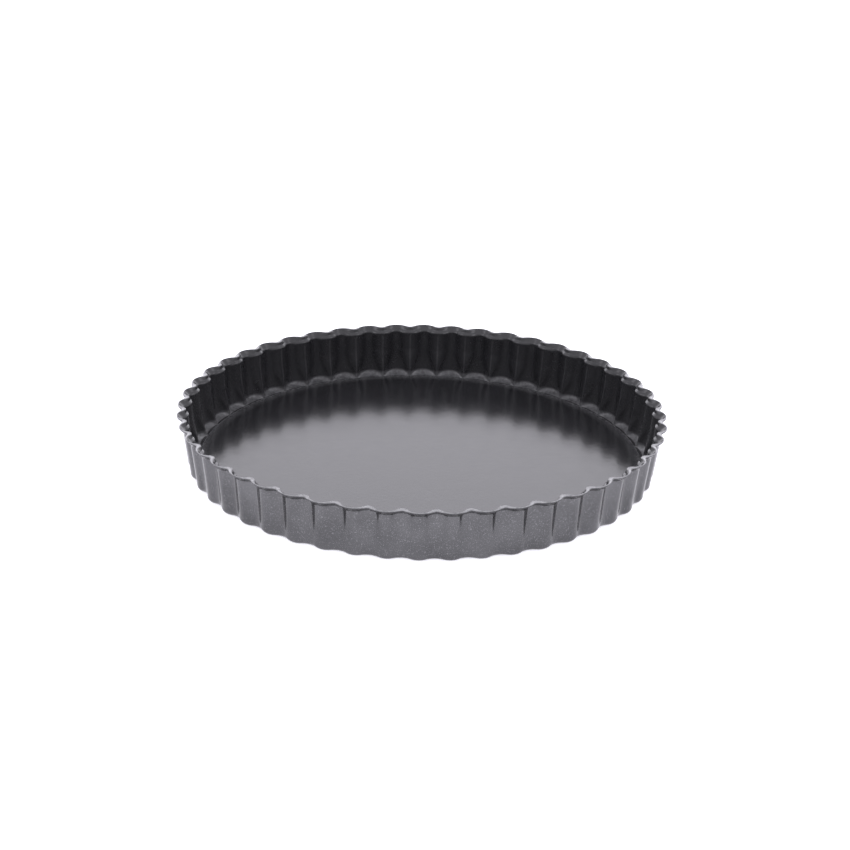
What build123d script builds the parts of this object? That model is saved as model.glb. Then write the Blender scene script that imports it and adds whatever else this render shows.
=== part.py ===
"""Round fluted tart pan with a loose base, in millimetres.

The pan stands on Z = 0 with its axis on +Z. The first lobe of the flutes points along +X.
The ring is one pressed sheet: a narrow ledge, a rounded foot, a fluted wall and a flared lip.
The base is a flat disc that lies on the ledge and lifts straight out.
"""

from build123d import *
import os
from math import asin, atan2, cos, hypot, pi, sin, sqrt, tan

os.makedirs("parts", exist_ok=True)

# Driving dimensions of the pan
LIP_RADIUS = 140.0  # lobes of the lip, the largest radius of the pan
HEIGHT = 31.0
FLUTES = 48
SHEET = 0.6  # thickness of the ring's sheet

# Wall, measured on its outer face
FOOT_HEIGHT = 3.0  # the rounded foot ends and the straight wall starts here
LIP_START = 27.3  # the straight wall ends and the lip starts to flare here
LOBE_FOOT, LOBE_LOW, LOBE_HIGH = 130.9, 133.9, 137.3
GROOVE_FOOT, GROOVE_LOW, GROOVE_HIGH = 128.7, 131.7, 134.0
GROOVE_LIP = 136.8  # grooves of the lip
BEND_FOOT, BEND_HIGH, BEND_LIP = 9.4, 7.5, 2.7  # outer radius of the bend in each groove

# Slopes inside the foot, where each lobe runs out on the ledge
INNER_FOOT_HEIGHT = 3.7
LOBE_INNER_FOOT, GROOVE_INNER_FOOT = 129.5, 129.0
LOBE_SLOPE = 1.3  # 1 is a straight slope, 2 a quarter round
BEND_INNER_FOOT = 2.5  # the ridges between the lobes are narrow where they reach the ledge

# Lip
LIP_BEND = 0.7  # outer radius of the bend between the wall and the lip
EDGE_TOP = 0.35  # flat on top of the sheet's cut edge
EDGE_SIDE = 0.55  # upright part of the sheet's cut edge

# Ledge and loose base
LEDGE_OPENING = 121.0  # radius of the round opening inside the ledge
BASE_RADIUS = 127.8
BASE_THICKNESS = 0.6
BASE_EDGE_ROUND = 0.2

# Heights of the sections through the ring, as shares of the foot's turn, the wall and the lip
FOOT_TURNS = [turn * pi / 12 for turn in range(6)]
WALL_SHARES = [0, 0.5, 1]
LIP_SHARES = [0.06, 0.12, 0.2, 0.3, 0.65, 1]


def two_arc_flutes(lobe, groove, bend):
    """Radius of the lobe arcs that meet groove arcs of radius bend in one tangent line."""
    groove_centre = groove + bend
    half_pitch = cos(pi / FLUTES)
    chord = lobe**2 + groove_centre**2 - 2 * groove_centre * lobe * half_pitch - bend**2
    return chord / (2 * (lobe - groove_centre * half_pitch + bend))


def fluted_outline(height, lobe, groove, bend):
    """Closed outline of wide outward lobes and tight inward grooves at one height."""
    lobe_arc = two_arc_flutes(lobe, groove, bend)
    half_pitch = 180 / FLUTES
    lobe_centre = Vector(lobe - lobe_arc, 0)
    groove_centre = Vector(groove + bend, 0).rotate(Axis.Z, half_pitch)
    joint = lobe_centre + (groove_centre - lobe_centre) * (lobe_arc / (lobe_arc + bend))
    mirrored_joint = Vector(joint.X, -joint.Y)
    with BuildSketch(Plane.XY.offset(height)) as outline:
        with BuildLine():
            for flute in range(FLUTES):
                turn = 2 * half_pitch * flute
                start, tip, end = (
                    point.rotate(Axis.Z, turn) for point in (mirrored_joint, Vector(lobe, 0), joint)
                )
                valley = Vector(groove, 0).rotate(Axis.Z, turn + half_pitch)
                next_start = mirrored_joint.rotate(Axis.Z, turn + 2 * half_pitch)
                ThreePointArc(start, tip, end)
                ThreePointArc(end, valley, next_start)
        make_face()
    return outline.sketch


def wall_radius(height, foot, slope, low, high, lip, inset, foot_height, lip_top):
    """Radius at one height of the line up a lobe or a groove; inset moves it inside the sheet."""
    lean = (high - low) / (LIP_START - FOOT_HEIGHT)
    if height < foot_height:
        foot_top = low - inset + lean * (foot_height - FOOT_HEIGHT)
        rise = (foot_height - height) / (foot_height - inset)
        return foot + (foot_top - foot) * max(0, 1 - rise**slope) ** (1 / slope)
    if height <= LIP_START:
        return low - inset + lean * (height - FOOT_HEIGHT)
    start, bend = high - inset, LIP_BEND + inset
    out, up = lip - start - bend, lip_top - LIP_START
    flare = atan2(out, up) + asin(bend / hypot(out, up))
    rise = height - LIP_START
    if rise < bend * sin(flare):
        return start + bend - sqrt(bend**2 - rise**2)
    return lip - (lip_top - height) * tan(flare)


def groove_bend(height, foot_bend, inset, foot_height, lip_top):
    """Radius of the bend in each groove: wide up the wall and tight at the lip."""
    if height > LIP_START:
        rise = (height - LIP_START) / (lip_top - LIP_START)
        return inset + BEND_HIGH + (BEND_LIP - BEND_HIGH) * rise
    bend = inset + BEND_FOOT + (BEND_HIGH - BEND_FOOT) * height / LIP_START
    if height < foot_height:
        rise = (height - inset) / (foot_height - inset)
        return foot_bend + (bend - foot_bend) * rise**2
    return bend


def ring_sections(feet, foot_bend, lobe_slope, inset, foot_height, lip_top, edge_inset):
    """Outlines from the floor of the ring to its lip, for one face of the sheet."""
    heights = [foot_height - (foot_height - inset) * cos(turn) for turn in FOOT_TURNS]
    heights += [foot_height + (LIP_START - foot_height) * share for share in WALL_SHARES]
    heights += [LIP_START + (lip_top - LIP_START) * share for share in LIP_SHARES]
    lobe_line = (feet[0], lobe_slope, LOBE_LOW, LOBE_HIGH, LIP_RADIUS - edge_inset)
    groove_line = (feet[1], 2, GROOVE_LOW, GROOVE_HIGH, GROOVE_LIP - edge_inset)
    return [
        fluted_outline(
            height,
            wall_radius(height, *lobe_line, inset, foot_height, lip_top),
            wall_radius(height, *groove_line, inset, foot_height, lip_top),
            groove_bend(height, foot_bend, inset, foot_height, lip_top),
        )
        for height in heights
    ]


# Fluted ring: the outer face as one solid, less the cavity and the opening in the floor
outer_sections = ring_sections(
    (LOBE_FOOT, GROOVE_FOOT), BEND_FOOT, 2, 0, FOOT_HEIGHT, HEIGHT - EDGE_SIDE, 0
)
cavity_sections = ring_sections(
    (LOBE_INNER_FOOT, GROOVE_INNER_FOOT),
    BEND_INNER_FOOT,
    LOBE_SLOPE,
    SHEET,
    INNER_FOOT_HEIGHT,
    HEIGHT,
    EDGE_TOP,
)

with BuildPart() as fluted_ring:
    loft(outer_sections, ruled=True)
    extrude(outer_sections[-1], amount=EDGE_SIDE)
    loft(cavity_sections, ruled=True, mode=Mode.SUBTRACT)
    with BuildSketch():
        Circle(LEDGE_OPENING)
    extrude(amount=SHEET, mode=Mode.SUBTRACT)

# Loose base: a flat disc on the ledge, its cut edge slightly rounded
with BuildPart() as base_disc:
    with BuildSketch(Plane.XY.offset(SHEET)):
        Circle(BASE_RADIUS)
    extrude(amount=BASE_THICKNESS)
    fillet(base_disc.edges(), BASE_EDGE_ROUND)

fluted_ring.part.label = "fluted_ring"
base_disc.part.label = "base_disc"
for piece in (fluted_ring, base_disc):
    export_step(piece.part, f"parts/{piece.part.label}.step")
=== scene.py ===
"""Fluted tart pan with a loose base: the finished meshes, coatings, lights and camera.

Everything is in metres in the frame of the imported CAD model: the pan stands on Z = 0 with its
axis on +Z, and the camera looks along +Y.
"""

import math

import bpy
import numpy as np
from mathutils import Matrix, Vector


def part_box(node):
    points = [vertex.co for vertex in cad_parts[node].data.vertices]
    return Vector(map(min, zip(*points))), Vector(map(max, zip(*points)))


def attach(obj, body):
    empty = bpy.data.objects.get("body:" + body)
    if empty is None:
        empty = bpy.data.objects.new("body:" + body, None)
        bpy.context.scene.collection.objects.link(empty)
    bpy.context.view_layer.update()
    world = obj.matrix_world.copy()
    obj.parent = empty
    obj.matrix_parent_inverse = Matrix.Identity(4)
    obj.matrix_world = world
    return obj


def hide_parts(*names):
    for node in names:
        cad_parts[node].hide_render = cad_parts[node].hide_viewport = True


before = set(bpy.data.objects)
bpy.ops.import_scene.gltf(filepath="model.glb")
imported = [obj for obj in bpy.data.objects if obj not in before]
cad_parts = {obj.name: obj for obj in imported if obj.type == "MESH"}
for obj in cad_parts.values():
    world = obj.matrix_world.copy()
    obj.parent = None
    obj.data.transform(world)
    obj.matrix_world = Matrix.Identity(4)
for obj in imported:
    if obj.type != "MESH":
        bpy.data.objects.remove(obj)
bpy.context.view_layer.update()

MM = 0.001

# Sizes read from the frame
ring_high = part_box("fluted_ring")[1]
disc_low, disc_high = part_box("base_disc")
LIP_RADIUS = ring_high.x
HEIGHT = ring_high.z
SHEET = disc_low.z  # the disc lies on the ledge, so its underside is one sheet up
DISC_RADIUS = (disc_high.x - disc_low.x) / 2

# Wall of the ring, on the outer face of the sheet
FLUTES = 48
FOOT_HEIGHT = 3.0 * MM  # the rounded foot ends and the straight wall starts here
LIP_START = 27.3 * MM  # the straight wall ends and the lip starts to flare here
LOBE_FOOT, LOBE_LOW, LOBE_HIGH = 131.2 * MM, 133.9 * MM, 137.3 * MM
GROOVE_FOOT, GROOVE_LOW, GROOVE_HIGH = 128.9 * MM, 131.9 * MM, 133.5 * MM
GROOVE_LIP = 137.6 * MM
BEND_FOOT, BEND_HIGH, BEND_LIP = 9.4 * MM, 7.5 * MM, 2.7 * MM  # of the bend in each groove
LOBE_TURN, GROOVE_TURN = 2.5, 2  # shape of the foot: 1 is a straight slope, 2 a quarter round

# Foot of the ring, on the inner face of the sheet
INNER_FOOT_HEIGHT = 2.6 * MM
LOBE_INNER_FOOT, GROOVE_INNER_FOOT = 129.5 * MM, 129.0 * MM
LOBE_SLOPE = 1.3  # shape of the slope inside each lobe, on the same scale
BEND_INNER_FOOT = 1.5 * MM
TOE_LEAN = 0.19  # how fast the toe of each inner ridge moves outward as it rises
TOE_TOP = 16.0 * MM  # the bend of the inner ridges is as wide as the wall's from here up

# Lip and ledge of the ring
LIP_BEND = 0.7 * MM
EDGE_ROUND = 0.35 * MM  # how far the rounded rim edge eats into the top of the sheet
EDGE_SIDE = 0.55 * MM  # and how far down its side
LEDGE_OPENING = 121.0 * MM
LEDGE_EDGE = 0.12 * MM  # bevel round the ledge's opening

# Mesh density
LOBE_STEPS, BEND_STEPS = 12, 14
FOOT_STEPS, WALL_STEPS, LIP_STEPS, NOSE_STEPS, LEDGE_STEPS = 9, 16, 14, 6, 4
DISC_COLUMNS, DISC_STEPS, DISC_EDGE_STEPS = 288, 21, 8
LIP_CROWDING = 1.4  # above 1, the lip's sections crowd towards its bend

# Wear and painted highlights, from 0 for sound coating to 1 for bare metal
# Rim: a worn bare edge that is also a painted highlight along the rim line
RIM_WEAR_AND_HIGHLIGHT, RIM_WEAR_AND_HIGHLIGHT_REACH = 0.85, 0.24 * MM
OPENING_WEAR = 0.8
# painted highlight: lightens the inner foot of each lobe where it catches the light
FOOT_HIGHLIGHT = 0.09
# painted highlight: thin light streaks up the crest of each inner ridge
CREST_HIGHLIGHT = 0.027
# painted sheen: lightens the whole inner lip, as where its flare catches the light
LIP_SHEEN = 0.025
DISC_EDGE_WEAR, DISC_WEAR_REACH = 0.2, 0.6 * MM
# colour of bare metal on worn places, also used for the painted highlights
BARE_METAL_AND_HIGHLIGHT = (0.9, 0.9, 0.92)


# ---------------------------------------------------------------- shapes


def mesh_object(name, vertices, faces):
    """A smooth-shaded mesh object."""
    mesh = bpy.data.meshes.new(name)
    mesh.from_pydata([tuple(v) for v in vertices], [], faces)
    mesh.polygons.foreach_set("use_smooth", [True] * len(mesh.polygons))
    mesh.update()
    piece = bpy.data.objects.new(name, mesh)
    bpy.context.scene.collection.objects.link(piece)
    return piece


def fluted_outline(lobe, groove, bend):
    """Points round the pan: wide lobe arcs and tight groove arcs that meet in one tangent."""
    half_pitch = math.pi / FLUTES
    valley = groove + bend
    reach = math.cos(half_pitch)
    lobe_arc = (lobe**2 + valley**2 - 2 * valley * lobe * reach - bend**2) / (
        2 * (lobe - valley * reach + bend)
    )
    centre = lobe - lobe_arc
    lobe_turn = math.atan2(valley * math.sin(half_pitch), valley * reach - centre)
    bend_turn = lobe_turn - half_pitch
    a = np.linspace(-lobe_turn, lobe_turn, LOBE_STEPS + 1)[:-1]
    b = np.linspace(-bend_turn, bend_turn, BEND_STEPS + 1)[:-1]
    lobes = centre + lobe_arc * np.exp(1j * a)
    grooves = (valley - bend * np.exp(-1j * b)) * np.exp(1j * half_pitch)
    one_flute = np.concatenate([lobes, grooves])
    turns = np.exp(2j * half_pitch * np.arange(FLUTES))
    return (turns[:, None] * one_flute[None, :]).ravel()


def wall_radius(height, line, inset, foot_height, lip_top):
    """Radius at one height of the line up a lobe or a groove, on one face of the sheet."""
    foot, slope, low, high, lip = line
    lean = (high - low) / (LIP_START - FOOT_HEIGHT)
    if height < foot_height:
        foot_top = low - inset + lean * (foot_height - FOOT_HEIGHT)
        rise = (foot_height - height) / (foot_height - inset)
        return foot + (foot_top - foot) * max(0.0, 1 - rise**slope) ** (1 / slope)
    if height <= LIP_START:
        return low - inset + lean * (height - FOOT_HEIGHT)
    bend, start = LIP_BEND + inset, high - inset
    out, up = lip - start - bend, lip_top - LIP_START
    flare = math.atan2(out, up) + math.asin(bend / math.hypot(out, up))
    rise = height - LIP_START
    if rise < bend * math.sin(flare):
        return start + bend - math.sqrt(bend**2 - rise**2)
    return lip - (lip_top - height) * math.tan(flare)


def groove_radius(height, line, inset, foot_height, lip_top):
    """Radius up a groove, which is a ridge on the inner face: its toe stands forward there."""
    wall = wall_radius(height, line, inset, foot_height, lip_top)
    if inset == 0:
        return wall
    return min(wall, GROOVE_INNER_FOOT + (height - inset) * TOE_LEAN)


def toe_share(height):
    """How narrow an inner ridge still is at a height: 1 up to the foot's top, 0 from TOE_TOP."""
    rise = (height - INNER_FOOT_HEIGHT) / (TOE_TOP - INNER_FOOT_HEIGHT)
    rise = min(1.0, max(0.0, rise))
    return 1 - rise * rise * (3 - 2 * rise)


def groove_bend(height, inset, lip_top):
    """Radius of the bend in each groove: wide up the wall, tight at the lip and inside the foot."""
    if height > LIP_START:
        rise = (height - LIP_START) / (lip_top - LIP_START)
        return inset + BEND_HIGH + (BEND_LIP - BEND_HIGH) * rise
    bend = inset + BEND_FOOT + (BEND_HIGH - BEND_FOOT) * height / LIP_START
    if inset > 0:
        return bend + (BEND_INNER_FOOT - bend) * toe_share(height)
    return bend


def face_sections(feet, turns, inset, foot_height, lip_top, edge_inset):
    """(height, outline) from the floor up to the lip, on one face of the sheet.

    feet and turns hold the radius and the shape of the foot, first on the lobes, then in the
    grooves.
    """
    angles = np.linspace(0, math.pi / 2, FOOT_STEPS + 1)[:-1]
    heights = list(foot_height - (foot_height - inset) * np.cos(angles))
    heights += list(np.linspace(foot_height, LIP_START, WALL_STEPS + 1)[:-1])
    lip_shares = np.linspace(0, 1, LIP_STEPS + 1) ** LIP_CROWDING
    heights += list(LIP_START + (lip_top - LIP_START) * lip_shares)
    lobe_line = (feet[0], turns[0], LOBE_LOW, LOBE_HIGH, LIP_RADIUS - edge_inset)
    groove_line = (feet[1], turns[1], GROOVE_LOW, GROOVE_HIGH, GROOVE_LIP - edge_inset)
    sections = []
    for height in heights:
        outline = fluted_outline(
            wall_radius(height, lobe_line, inset, foot_height, lip_top),
            groove_radius(height, groove_line, inset, foot_height, lip_top),
            groove_bend(height, inset, lip_top),
        )
        sections.append((height, outline))
    return sections


def ledge_sections(foot_outline, heights_and_radii):
    """Round rings of points that line up with the foot's outline."""
    around = foot_outline / np.abs(foot_outline)
    return [(height, around * radius) for height, radius in heights_and_radii]


def rim_nose(outer, inner):
    """The rounded cut edge of the sheet, from the lip's underside over to its top."""
    (low, outer_line), (high, inner_line) = outer, inner
    sections = []
    for turn in np.linspace(0, math.pi / 2, NOSE_STEPS + 2)[1:-1]:
        share = 1 - math.cos(turn)
        height = low + (high - low) * math.sin(turn)
        sections.append((height, outer_line + (inner_line - outer_line) * share))
    return sections


def ring_sections():
    """(outside, inside) sections of the ring: up the outer face, then back down the inner one."""
    outer = face_sections(
        (LOBE_FOOT, GROOVE_FOOT),
        (LOBE_TURN, GROOVE_TURN),
        0.0,
        FOOT_HEIGHT,
        HEIGHT - EDGE_SIDE,
        0.0,
    )
    inner = face_sections(
        (LOBE_INNER_FOOT, GROOVE_INNER_FOOT),
        (LOBE_SLOPE, GROOVE_TURN),
        SHEET,
        INNER_FOOT_HEIGHT,
        HEIGHT,
        EDGE_ROUND,
    )
    radii = np.linspace(LEDGE_OPENING, np.abs(outer[0][1]).min(), LEDGE_STEPS + 1)[:-1]
    under = [(SHEET / 2, LEDGE_OPENING), (LEDGE_EDGE, LEDGE_OPENING)]
    under += [(0.0, radius + LEDGE_EDGE) for radius in radii]
    over = [(SHEET, radius + LEDGE_EDGE) for radius in radii[::-1]]
    over += [(SHEET - LEDGE_EDGE, LEDGE_OPENING)]
    outside = ledge_sections(outer[0][1], under) + outer
    inside = rim_nose(outer[-1], inner[-1]) + inner[::-1] + ledge_sections(inner[0][1], over)
    return outside, inside


def ring_wear_and_highlights(outside, inside):
    """Wear and painted highlights at each point of each section: worn edges on the rim and opening,
    painted highlights on the rim, foot, ridges and lip.
    """
    sections = outside + inside
    columns = len(sections[0][1])
    wear_and_highlight = np.zeros((len(sections), columns))
    one_flute = LOBE_STEPS + BEND_STEPS
    crests = LOBE_STEPS + BEND_STEPS // 2 + one_flute * np.arange(FLUTES)  # mid-groove columns
    for row, (height, line) in enumerate(sections):
        reach = np.abs(line).max()
        # worn bare edge on the rim, which also paints the bright highlight along the rim line
        from_rim = np.hypot(LIP_RADIUS - reach, HEIGHT - height)
        wear_and_highlight[row] = RIM_WEAR_AND_HIGHLIGHT * math.exp(-((from_rim / RIM_WEAR_AND_HIGHLIGHT_REACH) ** 2))
        if height <= SHEET and reach < LEDGE_OPENING + 2 * LEDGE_EDGE:
            wear_and_highlight[row] = OPENING_WEAR
        # painted highlight streaks along the inner ridges
        if row > len(outside) and INNER_FOOT_HEIGHT < height < LIP_START:
            wear_and_highlight[row, crests] = CREST_HIGHLIGHT
        # painted highlight on the inner foot
        if row > len(outside) and SHEET < height <= INNER_FOOT_HEIGHT:
            wear_and_highlight[row] = FOOT_HIGHLIGHT
        # painted sheen on the inner face of the lip
        if row > len(outside) + NOSE_STEPS and height > LIP_START + LIP_BEND:
            wear_and_highlight[row] = LIP_SHEEN
    return wear_and_highlight


def build_ring():
    """The fluted ring as one closed loop of sections; its inner face takes the second material."""
    outside, inside = ring_sections()
    sections = outside + inside
    rows, columns = len(sections), len(sections[0][1])
    points = np.empty((rows, columns, 3))
    for row, (height, line) in enumerate(sections):
        points[row, :, 0], points[row, :, 1], points[row, :, 2] = line.real, line.imag, height
    faces = []
    for row in range(rows):
        here, above = row * columns, (row + 1) % rows * columns
        for column in range(columns):
            after = (column + 1) % columns
            faces.append((here + column, here + after, above + after, above + column))
    ring = mesh_object("ring", points.reshape(-1, 3), faces)
    inside_face = np.repeat(np.arange(rows) >= len(outside) - 1, columns)
    ring.data.polygons.foreach_set("material_index", inside_face.astype(np.int32))
    store_wear_and_highlights(ring, ring_wear_and_highlights(outside, inside).ravel())
    return ring


def store_wear_and_highlights(piece, values):
    """Keeps how worn each vertex is, or how strong its painted highlight is, from 0 to 1, for the
    coating material.
    """
    layer = piece.data.attributes.new("wear_and_highlight", "FLOAT", "POINT")
    layer.data.foreach_set("value", np.asarray(values, dtype=np.float32))


def build_disc():
    """The loose base: a flat sheet disc with a rounded edge, as rings of points round its axis."""
    low, high = disc_low.z, disc_high.z
    middle, edge = (low + high) / 2, (high - low) / 2
    radii = list(np.linspace(0, DISC_RADIUS - 2 * edge, DISC_STEPS + 1)[1:])
    rounded = [
        (DISC_RADIUS - edge + edge * math.sin(turn), middle + edge * math.cos(turn))
        for turn in np.linspace(0, math.pi, DISC_EDGE_STEPS + 1)
    ]
    rounded[DISC_EDGE_STEPS // 2] = (DISC_RADIUS, middle)  # exact, where sin and cos are not
    profile = [(r, high) for r in radii] + rounded + [(r, low) for r in radii[::-1]]
    around = np.exp(2j * math.pi * np.arange(DISC_COLUMNS) / DISC_COLUMNS)
    vertices = [(0.0, 0.0, high)]
    wear_and_highlight = [0.0]
    for radius, height in profile:
        vertices += [(point.real, point.imag, height) for point in around * radius]
        from_edge = (DISC_RADIUS - radius) / DISC_WEAR_REACH
        wear_and_highlight += [DISC_EDGE_WEAR * math.exp(-(from_edge**2))] * DISC_COLUMNS
    vertices.append((0.0, 0.0, low))
    wear_and_highlight.append(0.0)
    last = len(vertices) - 1
    faces = []
    for column in range(DISC_COLUMNS):
        after = (column + 1) % DISC_COLUMNS
        faces.append((0, 1 + column, 1 + after))
        for row in range(len(profile) - 1):
            here, next_row = 1 + row * DISC_COLUMNS, 1 + (row + 1) * DISC_COLUMNS
            faces.append((here + column, next_row + column, next_row + after, here + after))
        here = 1 + (len(profile) - 1) * DISC_COLUMNS
        faces.append((here + column, last, here + after))
    disc = mesh_object("base", vertices, faces)
    store_wear_and_highlights(disc, wear_and_highlight)
    return disc


# ---------------------------------------------------------------- materials

# Textures, in features per metre
FLECK_SCALE, CLOUD_SCALE, SCUFF_SCALE, GLOSS_SCALE = 1500, 38, 420, 90
GRIT_SCALE, PEEL_SCALE = 3200, 420

FLECK_FROM, FLECK_TO = 0.60, 0.72  # noise from here starts a fleck, and from there fills it
CLOUD_FROM, CLOUD_TO = 0.35, 0.65  # noise up to here is all dark, and from there all light
CLOUD_DARK, CLOUD_LIGHT = 0.86, 1.12  # how far the clouds shift the base colour
NOISE_FROM, NOISE_TO = 0.3, 0.7  # nearly all values of the other noises lie between these
SCUFF_LEAST = 0.35  # share of the wear and painted highlight that is left between the scuffs

MIX_COLOURS, MIX_RESULT = (6, 7), 2  # the sockets of a Mix node that carry colours


class Nodes:
    """Short calls for building one node tree."""

    def __init__(self, material):
        material.use_nodes = True
        self.tree = material.node_tree
        self.shader = self.tree.nodes["Principled BSDF"]

    def add(self, kind, **settings):
        node = self.tree.nodes.new("ShaderNode" + kind)
        for key, value in settings.items():
            setattr(node, key, value)
        return node

    def link(self, source, target):
        self.tree.links.new(source, target)

    def noise(self, where, scale, detail=2.0, roughness=0.5):
        node = self.add("TexNoise")
        node.inputs["Scale"].default_value = scale
        node.inputs["Detail"].default_value = detail
        node.inputs["Roughness"].default_value = roughness
        self.link(where, node.inputs["Vector"])
        return node.outputs["Fac"]

    def spread(self, value, low, high, to_low, to_high):
        """Maps value from low..high to to_low..to_high, clamped."""
        node = self.add("MapRange", clamp=True)
        sockets = {"From Min": low, "From Max": high, "To Min": to_low, "To Max": to_high}
        for socket, number in sockets.items():
            node.inputs[socket].default_value = number
        self.link(value, node.inputs["Value"])
        return node.outputs["Result"]

    def blend(self, share, first, second):
        """Colour mix; first and second are colours or sockets."""
        node = self.add("Mix", data_type="RGBA")
        self.link(share, node.inputs["Factor"])
        for index, colour in zip(MIX_COLOURS, (first, second)):
            socket = node.inputs[index]
            if isinstance(colour, tuple):
                socket.default_value = (*colour, 1.0)
            else:
                self.link(colour, socket)
        return node.outputs[MIX_RESULT]

    def math(self, operation, first, second):
        node = self.add("Math", operation=operation)
        for socket, value in zip(node.inputs[:2], (first, second)):
            if isinstance(value, (int, float)):
                socket.default_value = value
            else:
                self.link(value, socket)
        return node.outputs[0]

    def bump(self, height, depth):
        """A bump node as deep as depth, in metres."""
        node = self.add("Bump")
        node.inputs["Strength"].default_value = 1.0
        node.inputs["Distance"].default_value = depth
        self.link(height, node.inputs["Height"])
        return node


def coating(name, base, fleck, fleck_share, roughness, peel, grain, metallic=0.0):
    """Baked non-stick coating: dark base with fine flecks, orange peel, worn places and painted
    highlights.

    fleck_share moves the threshold of the flecks: the higher, the more of them. roughness is a
    (low, high) range, peel the depth of the orange peel and grain that of the fine grit, both
    in metres.
    """
    material = bpy.data.materials.new(name)
    n = Nodes(material)
    where = n.add("TexCoord").outputs["Object"]
    specks = n.noise(where, FLECK_SCALE, detail=4.0, roughness=0.8)
    flecks = n.spread(specks, FLECK_FROM - fleck_share, FLECK_TO - fleck_share, 0, 1)
    clouds = n.spread(n.noise(where, CLOUD_SCALE, detail=3.0), CLOUD_FROM, CLOUD_TO, 0, 1)
    dark, light = (tuple(shift * c for c in base) for shift in (CLOUD_DARK, CLOUD_LIGHT))
    tone = n.blend(flecks, n.blend(clouds, dark, light), fleck)
    # this attribute lightens the coating towards bare metal, for worn places and for painted
    # highlights
    wear_and_highlight = n.add("Attribute", attribute_name="wear_and_highlight").outputs["Fac"]
    scratches = n.noise(where, SCUFF_SCALE, detail=4.0, roughness=0.65)
    scuffs = n.spread(scratches, NOISE_FROM, NOISE_TO, SCUFF_LEAST, 1)
    wear_and_highlight_share = n.math("MULTIPLY", wear_and_highlight, scuffs)
    n.link(n.blend(wear_and_highlight_share, tone, BARE_METAL_AND_HIGHLIGHT), n.shader.inputs["Base Color"])
    gloss = n.noise(where, GLOSS_SCALE, detail=4.0, roughness=0.6)
    gloss = n.spread(gloss, NOISE_FROM, NOISE_TO, *roughness)
    n.link(gloss, n.shader.inputs["Roughness"])
    n.shader.inputs["Metallic"].default_value = metallic
    grit = n.bump(n.noise(where, GRIT_SCALE, detail=2.0), grain)
    ripple = n.bump(n.noise(where, PEEL_SCALE, detail=1.5), peel)
    n.link(grit.outputs["Normal"], ripple.inputs["Normal"])
    n.link(ripple.outputs["Normal"], n.shader.inputs["Normal"])
    return material


# ---------------------------------------------------------------- pieces

outside_coat = coating(
    "outside_coating",
    base=(0.106, 0.106, 0.109),
    fleck=(0.24, 0.24, 0.25),
    fleck_share=0.05,
    roughness=(0.15, 0.21),
    peel=0.014 * MM,
    grain=0.005 * MM,
    metallic=1.0,
)
inside_coat = coating(
    "inside_coating",
    base=(0.0145, 0.0145, 0.016),
    fleck=(0.035, 0.035, 0.038),
    fleck_share=0.04,
    roughness=(0.20, 0.28),
    peel=0.008 * MM,
    grain=0.01 * MM,
)
disc_coat = coating(
    "base_coating",
    base=(0.011, 0.011, 0.0125),
    fleck=(0.05, 0.05, 0.055),
    fleck_share=0.0,
    roughness=(0.155, 0.19),
    peel=0.03 * MM,
    grain=0.002 * MM,
)

ring = build_ring()
ring.data.materials.append(outside_coat)
ring.data.materials.append(inside_coat)
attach(ring, "ring")
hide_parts("fluted_ring")

disc = build_disc()
disc.data.materials.append(disc_coat)
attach(disc, "base")
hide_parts("base_disc")


# ---------------------------------------------------------------- stage

COOL_WHITE = (0.945, 0.93, 1.0)  # colour of all the light
FLOOR_GLOW = 0.7  # keeps shadows on the floor nearly white
FLOOR_DROP = 0.2 * MM  # gap between the floor and the pan's underside


def add_floor():
    """A plain pale floor."""
    half = 6.0  # metres
    corners = [(-half, -half, 0), (half, -half, 0), (half, half, 0), (-half, half, 0)]
    floor = mesh_object("floor", corners, [(0, 1, 2, 3)])
    material = bpy.data.materials.new("floor")
    material.use_nodes = True
    shader = material.node_tree.nodes["Principled BSDF"]
    shader.inputs["Base Color"].default_value = (0.9, 0.9, 0.9, 1)
    shader.inputs["Roughness"].default_value = 0.9
    shader.inputs["Specular IOR Level"].default_value = 0.2
    shader.inputs["Emission Color"].default_value = (*COOL_WHITE, 1)
    shader.inputs["Emission Strength"].default_value = FLOOR_GLOW
    floor.data.materials.append(material)
    floor.location.z = -FLOOR_DROP


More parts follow.
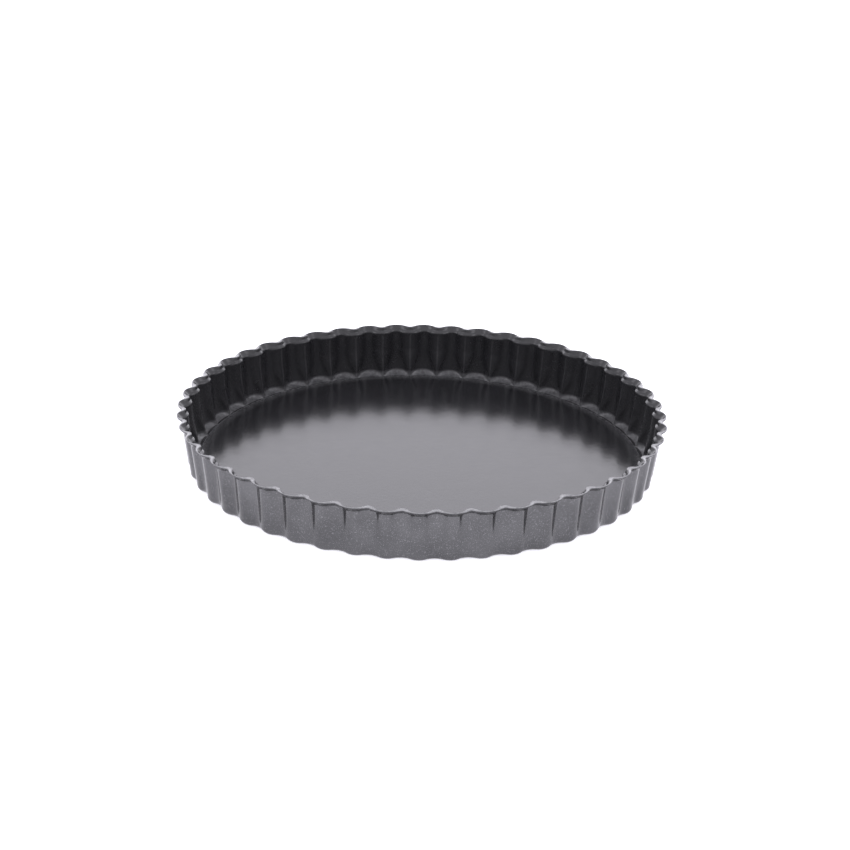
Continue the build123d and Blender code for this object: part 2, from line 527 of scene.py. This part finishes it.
def add_panel(name, place, size, radiance):
    """A soft light panel at place, facing the pan. radiance is what a mirror would show."""
    light = bpy.data.lights.new(name, "AREA")
    light.shape = "RECTANGLE"
    light.size, light.size_y = size
    light.energy = radiance * math.pi * size[0] * size[1]
    light.color = COOL_WHITE
    panel = bpy.data.objects.new(name, light)
    panel.location = place
    aim = Vector((0, 0, 20 * MM)) - Vector(place)
    panel.rotation_mode = "QUATERNION"
    panel.rotation_quaternion = aim.to_track_quat("-Z", "Y")
    bpy.context.scene.collection.objects.link(panel)


def add_world(radiance):
    """Even light from all round."""
    world = bpy.data.worlds.new("studio")
    world.use_nodes = True
    background = world.node_tree.nodes["Background"]
    background.inputs["Color"].default_value = (*COOL_WHITE, 1)
    background.inputs["Strength"].default_value = radiance
    bpy.context.scene.world = world


def add_camera():
    """The photograph's view: a long lens, in front of the pan and above it."""
    back, above = 8.339 * LIP_RADIUS, 3.452 * LIP_RADIUS + HEIGHT
    pitch, yaw, roll = 0.39957, 0.00157, 0.0272
    data = bpy.data.cameras.new("camera")
    data.sensor_width = 36.0
    data.lens = 93.43
    data.clip_end = 50  # metres
    level_forward = (math.sin(yaw) * math.cos(pitch), math.cos(yaw) * math.cos(pitch))
    forward = Vector((*level_forward, -math.sin(pitch)))
    level = Vector((math.cos(yaw), -math.sin(yaw), 0))
    upright = level.cross(forward)
    right = math.cos(roll) * level + math.sin(roll) * upright
    up = -math.sin(roll) * level + math.cos(roll) * upright
    camera = bpy.data.objects.new("camera", data)
    turned = Matrix((right, up, -forward)).transposed().to_4x4()
    camera.matrix_world = Matrix.Translation((0, -back, above)) @ turned
    bpy.context.scene.collection.objects.link(camera)
    bpy.context.scene.camera = camera


add_floor()
add_world(1.1)
add_panel("backdrop", place=(0, 2.2, 0.75), size=(4.0, 1.5), radiance=1.4)
add_panel("left_soft", place=(-1.6, -0.5, 1.5), size=(1.0, 1.0), radiance=2.0)
add_panel("right_soft", place=(1.6, -0.5, 1.5), size=(1.0, 1.0), radiance=2.0)
add_camera()
bpy.context.scene.view_settings.view_transform = "Standard"
